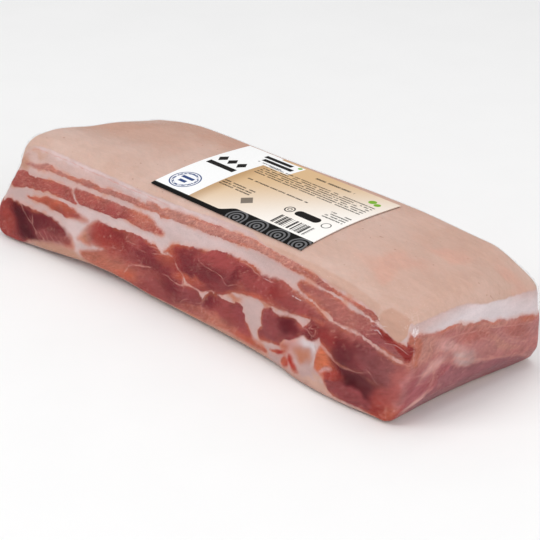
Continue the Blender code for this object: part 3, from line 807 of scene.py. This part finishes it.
class Shader:
    """Builds one material's nodes."""

    def __init__(self, name):
        self.material = bpy.data.materials.new(name)
        self.material.use_nodes = True
        self.tree = self.material.node_tree
        self.tree.nodes.clear()
        self.surface = self.node("OutputMaterial").inputs["Surface"]
        self.place = self.vector("MULTIPLY", self.node("TexCoord").outputs["Object"], (1000, 1000, 1000))

    def feed(self, socket, value):
        if isinstance(value, Field):
            value = value.socket
        if isinstance(value, bpy.types.NodeSocket):
            self.tree.links.new(value, socket)
        else:
            socket.default_value = value

    def node(self, kind, inputs=None, **settings):
        """A new node with its settings, and its inputs fed by name or number."""
        node = self.tree.nodes.new("ShaderNode" + kind)
        for name, value in settings.items():
            setattr(node, name, value)
        for name, value in (inputs or {}).items():
            self.feed(node.inputs[name], value)
        return node

    def math(self, operation, *values):
        return Field(self, self.node("Math", dict(enumerate(values)), operation=operation).outputs[0])

    def vector(self, operation, *values):
        return self.node("VectorMath", dict(enumerate(values)), operation=operation).outputs[0]

    def together(self, x, y, z=0.0):
        return self.node("CombineXYZ", {0: x, 1: y, 2: z}).outputs[0]

    def value(self, name):
        return Field(self, self.node("Attribute", attribute_name=name).outputs["Fac"])

    def colour(self, name):
        return self.node("Attribute", attribute_name=name).outputs["Color"]

    def noise(self, size, detail=2.0, roughness=0.5, place=None, stretch=(1, 1, 1), twist=0.0):
        """Noise from 0 to 1 with features of a size in millimetres."""
        place = self.vector("MULTIPLY", self.place if place is None else place, stretch)
        return Field(self, self.node("TexNoise", {
            "Vector": place, "Scale": 1 / size, "Detail": detail, "Roughness": roughness,
            "Distortion": twist}).outputs["Fac"])

    def shake(self, amount, *noise):
        """Noise about 0, for ragged edges."""
        return (self.noise(*noise) - 0.5) * amount

    def turned(self, place, degrees):
        """Place turned about X, Y and Z."""
        return self.node("Mapping", {"Vector": place, "Rotation": np.radians(degrees)}).outputs["Vector"]

    def cells(self, size, place, stretch, wander):
        """Distance from the walls of a wandering net of cells."""
        drift = self.node("TexNoise", {"Vector": place, "Scale": 0.7 / size}).outputs["Color"]
        moved = self.vector("ADD", place, self.vector("MULTIPLY", drift, (wander,) * 3))
        return Field(self, self.node("TexVoronoi", {
            "Vector": self.vector("MULTIPLY", moved, stretch), "Scale": 1 / size},
            feature="DISTANCE_TO_EDGE").outputs["Distance"])

    def step(self, value, low, high):
        """0 below low, 1 above high, smooth between them."""
        return Field(self, self.node("MapRange", {"Value": value, "From Min": low, "From Max": high},
                                     interpolation_type="SMOOTHSTEP").outputs["Result"])

    def mix(self, share, *colours):
        """The first colour where share is 0, the second where it is 1."""
        first, second = [colour if isinstance(colour, bpy.types.NodeSocket) else (*linear(colour), 1)
                         for colour in colours]
        return self.node("Mix", {0: share, 6: first, 7: second}, data_type="RGBA").outputs[2]

    def scaled(self, colour, factor):
        """A colour made lighter or darker by a field."""
        return self.vector("MULTIPLY", colour, self.together(factor, factor, factor))

    def bump(self, height, distance, strength):
        return self.node("Bump", {"Strength": strength, "Distance": distance * MM,
                                  "Height": height}).outputs["Normal"]

    def principled(self, colour, **inputs):
        inputs = {name.replace("_", " "): value for name, value in inputs.items()}
        self.feed(self.surface, self.node("BsdfPrincipled", {"Base Color": colour, **inputs}).outputs[0])


def meat_material():
    """Lean, fat, seams and rind, each where the mesh's values put it."""
    m = Shader("pork")
    grain = m.turned(m.place, (-28, 18, 0))
    depth = m.value("lean")
    ragged = m.shake(2.8, 4.5, 4, 0.65) + m.shake(2.0, 1.2, 3, 0.6)
    softness = m.step(m.noise(17), 0.4, 0.68) * 0.9 + m.value("fading") * 2.2 + 0.22
    lean = m.step((depth + ragged * 0.8) / softness, -1, 1)

    # Lean: fibres, clouds, a net of fat where it is marbled, and a few pale hairlines
    fibre = m.noise(1.2, 4, 0.65, place=grain, stretch=(0.25, 0.25, 1.4), twist=0.5)
    cloud = m.noise(8, 4, 0.6, place=grain, stretch=(0.5, 0.5, 1.2))
    edge_glow = (1 - m.step(depth, 0.0, 2.6)) * m.step(m.noise(13), 0.42, 0.66) * 0.65
    lean_colour = m.mix(edge_glow, m.colour("lean_colour"), (192, 108, 82))
    grit = m.noise(0.9, 3, 0.6, place=grain, stretch=(0.6, 0.6, 1.2))
    lean_colour = m.scaled(lean_colour, 0.64 + m.step(cloud, 0.28, 0.72) * 0.29
                           + m.step(fibre, 0.3, 0.7) * 0.26 + m.step(grit, 0.3, 0.7) * 0.14)
    net = m.cells(1.7, place=grain, stretch=(0.45, 0.45, 1.1), wander=2.6)
    fleck = m.noise(1.5, 4, 0.7, place=grain, stretch=(0.45, 0.45, 1.3))
    marble = m.value("marble")
    marbling = (1 - m.step(net, 0.0, 0.16)) * marble * 0.3 + m.step(fleck, 0.53, 0.68) * 0.85
    vein = m.noise(6.5, 3, 0.6, place=grain, stretch=(0.5, 0.5, 1.1), twist=0.9)
    hair = (1 - m.step(abs(vein - 0.5), 0.004, 0.02)) * m.step(m.noise(10), 0.5, 0.62)
    crumb = m.step(m.noise(2.1, 3, 0.6), 0.6, 0.68) * m.step(m.noise(9), 0.42, 0.58)
    crumb = (crumb * 0.42).math("MAXIMUM", hair * 0.36) * m.step(marble, -0.02, MARBLE_GROUND)
    marbling = (marbling * marble).math("MAXIMUM", crumb)
    lean_colour = m.mix(marbling.math("MINIMUM", 0.8), lean_colour, (212, 152, 136))

    # Fat: faint clouds and grain, blushing towards the lean
    fat_cloud = m.noise(12, 4, 0.6, stretch=(0.5, 0.5, 1.2))
    fine = m.noise(0.9)
    fat_colour = m.scaled(m.colour("fat_colour"), 0.81 + m.step(fat_cloud, 0.3, 0.7) * 0.14 + fine * 0.24)
    blush = m.step(depth + m.shake(4, 5, 3), -2.6, 1.6) * 0.5
    fat_colour = m.mix(blush, fat_colour, (208, 148, 134))
    amber = m.step(depth, -3.0, 0.5) * m.step(m.noise(14), 0.5, 0.66) * 0.6
    fat_colour = m.mix(amber, fat_colour, (204, 134, 104))

    colour = m.mix(lean, fat_colour, lean_colour)
    thread = 1 - m.step(abs(m.value("thread")) + m.shake(1.2, 1.6, 3), 0.1, 1.3)
    thread = thread * m.value("thread_strength") * (0.3 + m.step(m.noise(5, 3), 0.34, 0.6) * 0.7)
    colour = m.mix(thread, colour, m.mix(lean, (204, 142, 130), (204, 146, 134)))

    # Rind: broad mottling, pores, faint wrinkles and a few specks
    mottle = m.noise(30, 5, 0.62)
    pore = m.noise(1.1)
    wrinkle = m.noise(6, 4, 0.6, stretch=(0.35, 1.5, 1), twist=1.2)
    scratch = m.noise(3.2, 4, 0.6, place=m.turned(m.place, (0, 0, 32)), stretch=(0.22, 1.2, 1), twist=0.6)
    speck = m.step(m.noise(2.6, 0), 0.82, 0.86)
    rind_colour = m.mix(m.step(mottle, 0.3, 0.72), TONES["rind"], TONES["pale_rind"])
    rind_colour = m.mix(m.value("rind_shade"), rind_colour, TONES["brown_rind"])
    rind_colour = m.mix(m.value("rind_flush"), rind_colour, TONES["flushed_rind"])
    rind_colour = m.scaled(rind_colour, 0.88 + pore * 0.1 + m.step(wrinkle, 0.3, 0.7) * 0.06
                           + m.step(scratch, 0.3, 0.7) * 0.04 + m.step(mottle, 0.3, 0.7) * 0.02)
    rind_colour = m.mix(speck * 0.4, rind_colour, (150, 100, 84))
    rind = m.step(m.value("rind") + m.shake(2.0, 4, 3), -0.5, 0.9)
    colour = m.mix(rind, colour, rind_colour)

    # Painted highlights of the creased film, mixed in as white lines
    glinting_crease = 1 - m.step(abs(m.value("glinting_crease")) + m.shake(2.0, 1.4, 3), 0.1, 1.2)
    glinting_crease = glinting_crease * m.value("glint_strength") * m.step(m.noise(1.8), 0.36, 0.56)
    colour = m.mix(glinting_crease, colour, (240, 234, 236))

    relief = lean * fibre * 0.5 + (1 - lean) * fine * 0.15 + rind * wrinkle * 0.4 + rind * pore * 0.15
    m.principled(colour, Roughness=0.5, Specular_IOR_Level=0.03, Subsurface_Weight=0.1,
                 Subsurface_Scale=0.002, Subsurface_Radius=(1.0, 0.35, 0.25),
                 Normal=m.bump(relief, 0.35, 0.5))
    return m.material


def film_material():
    """Clear film: see-through, with soft reflections and fine creases."""
    m = Shader("clear film")
    fold = m.value("fold")
    glinting_crease = 1 - m.step(abs(m.noise(16, 3, 0.5, stretch=(0.6, 0.6, 1.4), twist=1.5) - 0.5), 0.0, 0.05)
    crumple = m.noise(4, 3, 0.55, twist=2.0) * fold
    normal = m.bump(m.noise(11, 3) + glinting_crease * 0.25 + crumple, 0.8, 0.35)
    clear = m.node("BsdfTransparent").outputs[0]
    gloss = m.node("BsdfGlossy", {"Roughness": 0.11, "Normal": normal}).outputs[0]
    slant = Field(m, m.node("LayerWeight", {"Blend": 0.5, "Normal": normal}).outputs["Facing"])
    reflected = slant.math("POWER", 5) * 0.35 + 0.01 + fold * 0.02
    m.feed(m.surface, m.node("MixShader", {0: reflected, 1: clear, 2: gloss}).outputs[0])
    return m.material


class Print:
    """Shapes printed on the label, measured in millimetres from its middle."""

    def __init__(self, shader):
        self.shader = shader
        self.u = shader.value("label_u")
        self.w = shader.value("label_w")

    def edge(self, depth, soft=0.12):
        return self.shader.step(depth, -soft, soft)

    def box(self, u0, u1, w0, w1):
        across = (self.u - u0).math("MINIMUM", u1 - self.u)
        return self.edge(across.math("MINIMUM", (self.w - w0).math("MINIMUM", w1 - self.w)))

    def from_centre(self, u, w):
        return ((self.u - u) * (self.u - u) + (self.w - w) * (self.w - w)).math("SQRT")

    def disc(self, u, w, radius):
        return self.edge(radius - self.from_centre(u, w))

    def ring(self, u, w, radius, width):
        return self.edge(width / 2 - abs(self.from_centre(u, w) - radius))

    def lozenge(self, u, w, half_u, half_w):
        return self.edge(1 - abs(self.u - u) / half_u - abs(self.w - w) / half_w, 0.04)

    def rows(self, u0, u1, w0, w1, pitch, height, word):
        """Rows of broken dashes, as small print looks from afar."""
        m = self.shader
        row = (self.w - w0) / pitch
        line = self.edge(height / pitch / 2 - abs(row.math("FRACT") - 0.5), 0.06)
        words = m.noise(word, 1, place=m.together(self.u, row.math("FLOOR") * 7.3))
        strokes = m.noise(0.5, 1, place=m.together(self.u, self.w))
        return self.box(u0, u1, w0, w1) * line * m.step(words, 0.40, 0.44) * m.step(strokes, 0.36, 0.5)

    def bars(self, u0, u1, w0, w1, pitch):
        m = self.shader
        bar = m.noise(1.0, 0, place=m.together((self.u / pitch).math("FLOOR") * 3.7, 0.0))
        return self.box(u0, u1, w0, w1) * m.step(bar, 0.47, 0.53)


def label_material():
    """Paper label: a white margin, a kraft panel that fades to white, and plain printed shapes."""
    m = Shader("label paper")
    p = Print(m)
    near_edge = -LABEL_WIDTH / 2
    panel_edge = -33.0

    paper_fibre = m.noise(1.2, 3)
    fade = m.step(p.u * 0.8 - p.w * 0.75, -26, 62)
    kraft = m.mix(fade, (220, 185, 142), (253, 250, 246))
    shade = m.step(p.u, panel_edge, panel_edge + 12)
    kraft = m.mix((1 - shade) * 0.55, kraft, (170, 128, 84))
    colour = m.mix(p.box(panel_edge, 90, -90, 90), (250, 250, 250), kraft)
    colour = m.mix(p.box(-46, -12, 23, 38.5), colour, (251, 251, 251))

    # Black print: on the white patch, down the margin, on the panel, and near the right end
    ink = p.lozenge(-2, -20, 5, 5) * 0.75
    for shape, *measures in [
            (p.box, -43, -20, 33, 36.5), (p.box, -40, -15, 28, 31.5),
            (p.rows, -40, -20, 24.5, 26.5, 2.0, 1.1, 3.0),
            (p.box, -60, -37, 0.5, 5), (p.lozenge, -56.5, 12, 3.4, 4.6),
            (p.lozenge, -48.5, 12, 3.4, 4.6), (p.lozenge, -40.5, 12, 3.4, 4.6),
            (p.rows, 2, 34, 31, 34, 3.0, 1.9, 5.0), (p.rows, -29, 58, 10.5, 25.5, 2.5, 1.15, 3.5),
            (p.rows, -24, 26, 0.5, 3.0, 2.5, 1.3, 3.5), (p.rows, -32, -6, -15.5, -7.5, 2.5, 1.2, 3.5),
            (p.rows, 44, 60, -6, 4, 2.5, 1.2, 3.5),
            (p.bars, 26, 53, -29, -19, 0.55), (p.box, 33, 46, -14.5, -8.5),
            (p.disc, 33, -11.5, 3), (p.disc, 46, -11.5, 3), (p.ring, 25, -11.5, 3, 0.8),
            (p.ring, 25, -11.5, 1.3, 0.6), (p.ring, 55, -12.5, 2.8, 0.6)]:
        ink = ink + shape(*measures)
    colour = m.mix(ink.math("MINIMUM", 1.0), colour, (26, 23, 22))

    # Black band along the near edge, wider to the right, with plain grey rings
    band = p.edge(near_edge + 3 + 6.5 * m.step(p.u, -8, 2) - p.w)
    colour = m.mix(band, colour, (16, 15, 15))
    rings = [p.ring(u, near_edge + 2.5, radius, 1.2) for u in (8, 25, 42, 59) for radius in (1.5, 4, 6.5)]
    ripple = rings[0]
    for ring in rings[1:]:
        ripple = ripple.math("MAXIMUM", ring)
    colour = m.mix(ripple * band * 0.9, colour, (116, 116, 118))

    # Blue round stamp and green dots
    stamp = p.ring(-50, -25, 9.5, 0.8) + p.ring(-50, -25, 7.6, 1.5) * m.step(m.noise(1.2, 1), 0.42, 0.5)
    stamp = stamp + p.box(-55, -45, -24, -21.5) + p.box(-53, -47, -28.5, -26)
    colour = m.mix(p.disc(-50, -25, 10.2), colour, (248, 249, 252))
    colour = m.mix(stamp.math("MINIMUM", 1.0), colour, (48, 72, 124))
    green = p.disc(50, 31, 2.6) + p.disc(55, 29.5, 2.2) + p.disc(-15, 36.5, 1.5)
    colour = m.mix(green.math("MINIMUM", 1.0), colour, (122, 176, 48))
    colour = m.scaled(colour, 0.96 + paper_fibre * 0.06)
    m.principled(colour, Roughness=0.5, Specular_IOR_Level=0.06, Normal=m.bump(paper_fibre, 0.05, 0.4))
    return m.material


def floor_material():
    m = Shader("pale floor")
    m.principled(m.mix(m.noise(60, 3), (246, 246, 246), (250, 250, 250)), Roughness=0.9)
    return m.material


def make_meat(shift):
    """The slab of meat, just under the film."""
    mesh = slab_grid(MEAT_CELL)
    refine(mesh, 2, near_side=True)
    refine(mesh, 1, near_side=False)
    block = places_of(mesh)
    piece = to_object("meat_and_rind", mesh, slab(block) * MM + shift)

    s, v = unroll(block)
    crisp = s + wobble(block, 9, 0.35, 1), v + wobble(block, 8, 0.3, 2)
    soft = s + wobble(block, 24, 2.2, 3), v + wobble(block, 20, 1.6, 4)
    lean = all_round(*crisp, lean_depth)
    under = ease((-v - 2) / 7)
    lean = lean * (1 - under) + np.clip(underside_pattern(block), -REACH, REACH) * under
    thread, thread_strength = all_round(*crisp, strokes(THREADS)).T
    # Painted highlights of the film's creases, as white lines
    glinting_crease, glint_strength = all_round(s, v, strokes(CREASE_GLINTS)).T
    rind = np.clip(v - curve(np.where(s < -FAR_CORNER, s + ROUND, s), RIND_LINE), -REACH, REACH)
    rind = np.where(v < 40, -REACH, rind)
    wandering = block + np.stack([wobble(block, 26, 4, seed) for seed in (5, 6, 7)], axis=-1)
    flush, shade = [sum(share * strength for share, strength in shares(*wandering.T[:2], patches))
                    for patches in (RIND_FLUSHES, RIND_SHADES)]
    edge = (EDGE_SHADE * ease((HEIGHT + 1.5 - v) / 3) * ease((s - EDGE_SHADE_FROM) / 14)
            * ease((EDGE_SHADE_TO - s) / 4))
    flat = ease((s - CORNER_LINE + CORNER_SLANT * (CORNER_TOP - v)) / 2.5 + 0.5) * ease((70 - v) / 3)
    edge = np.maximum(edge, CORNER_SHADE * flat * (s < RIGHT_CORNER))
    for name, values in {
            "lean": lean, "thread": thread, "thread_strength": thread_strength * (1 - under),
            "glinting_crease": glinting_crease, "glint_strength": glint_strength, "rind": rind,
            "rind_flush": np.clip(flush, 0, 1) * 0.65, "rind_shade": np.clip(np.maximum(shade, edge), 0, 1),
            "marble": all_round(s, v, layered(MARBLE_GROUND, MARBLED)),
            "fading": all_round(s, v, layered(0, FADING))}.items():
        set_values(piece.data, name, values)
    lean_colour = all_round(*soft, layered(LEAN_GROUND, LEAN_PATCHES, LEAN_AREAS))
    set_colours(piece.data, "lean_colour", lean_colour)
    set_colours(piece.data, "fat_colour", all_round(*soft, layered(FAT_GROUND, FAT_PATCHES)))
    groove = SEAM_GROOVE * (1 - ease(abs(thread) / 2))
    push_out(piece, -MEAT_SINK + (rind < 0) * (LEAN_SWELL * np.tanh(lean / 1.5) - groove * (lean > 0)))
    piece.data.materials.append(meat_material())
    return piece


def make_film(shift):
    """Clear film that clings to the slab, with folds pulled from its corners."""
    mesh = slab_grid(FILM_CELL)
    block = places_of(mesh)
    piece = to_object("clear_film", mesh, slab(block) * MM + shift)
    s, v = unroll(block)
    fold = np.zeros(len(s))
    crumpled = np.zeros(len(s))
    for corner in (RIGHT_CORNER, FAR_CORNER, LAST_CORNER - ROUND, -RIGHT_CORNER):
        ds, dv = s - corner, v - HEIGHT + FOLD_DROP
        distance = np.hypot(ds, dv)
        ray = np.sin(np.arctan2(dv, ds) * FOLD_RAYS + 1.4 * np.sin(distance / 7))
        fold += ease((ray - 0.3) / 0.7) * ease(1 - distance / FOLD_REACH) * ease(distance / 5)
        crumpled += ease(1.2 - distance / 16)
    push_out(piece, FILM_FOLD * fold)
    set_values(piece.data, "fold", crumpled)
    piece.data.materials.append(film_material())
    return piece


def make_label(shift):
    """Paper label that follows the rind."""
    size = (LABEL_LENGTH, LABEL_WIDTH, LABEL_THICKNESS)
    cells = [round(LABEL_LENGTH / LABEL_CELL), round(LABEL_WIDTH / LABEL_CELL), 1]
    mesh = box_surface(size, LABEL_FOOT, cells)
    sheet = places_of(mesh)
    turn = np.array([[np.cos(LABEL_TURN), -np.sin(LABEL_TURN)], [np.sin(LABEL_TURN), np.cos(LABEL_TURN)]])
    foot = block_point_under(sheet[:, :2] @ turn.T + LABEL_CENTRE)
    on_rind = slab(foot)
    ahead = slab(foot + [0.5, 0, 0]) - on_rind
    aside = slab(foot + [0, 0.5, 0]) - on_rind
    outward = np.cross(ahead, aside)
    outward /= np.linalg.norm(outward, axis=1, keepdims=True)
    piece = to_object("paper_label", mesh, (on_rind + outward * sheet[:, 2:]) * MM + shift)
    piece.data.set_sharp_from_angle(angle=np.radians(50))
    set_values(piece.data, "label_u", sheet[:, 0])
    set_values(piece.data, "label_w", sheet[:, 1])
    piece.data.materials.append(label_material())
    return piece


def slab_shift():
    """From the plain block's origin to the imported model's."""
    mesh = slab_grid(MEAT_CELL)
    own = slab(places_of(mesh)) * MM
    mesh.free()
    low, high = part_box("pork_belly")
    middle = (np.array(low) + np.array(high)) / 2
    own_middle = (own.min(axis=0) + own.max(axis=0)) / 2
    return np.array([middle[0] - own_middle[0], middle[1] - own_middle[1], low[2] - own[:, 2].min()])


def make_floor():
    bpy.ops.mesh.primitive_grid_add(x_subdivisions=4, y_subdivisions=4, size=8)
    floor = bpy.context.object
    floor.name = "floor"
    floor.data.materials.append(floor_material())


def hang(name, data, place, direction):
    """Put a lamp or camera at a place, pointing in a direction."""
    holder = bpy.data.objects.new(name, data)
    bpy.context.scene.collection.objects.link(holder)
    holder.location = place
    holder.rotation_mode = "QUATERNION"
    holder.rotation_quaternion = direction.to_track_quat("-Z", "Y")
    return holder


def add_light(name, place, target, size, power):
    lamp = bpy.data.lights.new(name, "AREA")
    lamp.shape = "SQUARE"
    lamp.size = size
    lamp.energy = power
    hang(name, lamp, place, Vector(target) - Vector(place))


def light_studio():
    world = bpy.data.worlds.new("studio")
    bpy.context.scene.world = world
    world.use_nodes = True
    sky = world.node_tree.nodes["Background"]
    sky.inputs["Color"].default_value = (1, 1, 1, 1)
    sky.inputs["Strength"].default_value = 0.52
    middle = (0, 0, 0.03)
    add_light("key", (-0.5, -1.3, 1.5), middle, 1.0, 11.8)
    add_light("fill", (1.6, -0.5, 0.9), middle, 1.2, 8.5)
    add_light("top", (0.1, 0.3, 1.9), middle, 1.4, 9.5)
    bpy.context.scene.view_settings.view_transform = "Standard"


def place_camera(shift):
    back = Vector((np.sin(CAMERA_AZIMUTH) * np.cos(CAMERA_ELEVATION),
                   -np.cos(CAMERA_AZIMUTH) * np.cos(CAMERA_ELEVATION), np.sin(CAMERA_ELEVATION)))
    lens = bpy.data.cameras.new("camera")
    lens.lens = LENS
    lens.shift_x = SHIFT_X
    lens.shift_y = SHIFT_Y
    camera = hang("camera", lens, back * CAMERA_DISTANCE + Vector(shift), -back)
    bpy.context.scene.camera = camera


def main():
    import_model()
    shift = slab_shift()
    place_camera(shift)
    light_studio()
    make_floor()
    pieces = [
        (make_meat(shift), "pork_belly", "pork"),
        (make_film(shift), "pork_belly", "film"),
        (make_label(shift), "label", "label_paper"),
    ]
    for piece, node, slot in pieces:
        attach(piece, "root")
        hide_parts(node)


main()
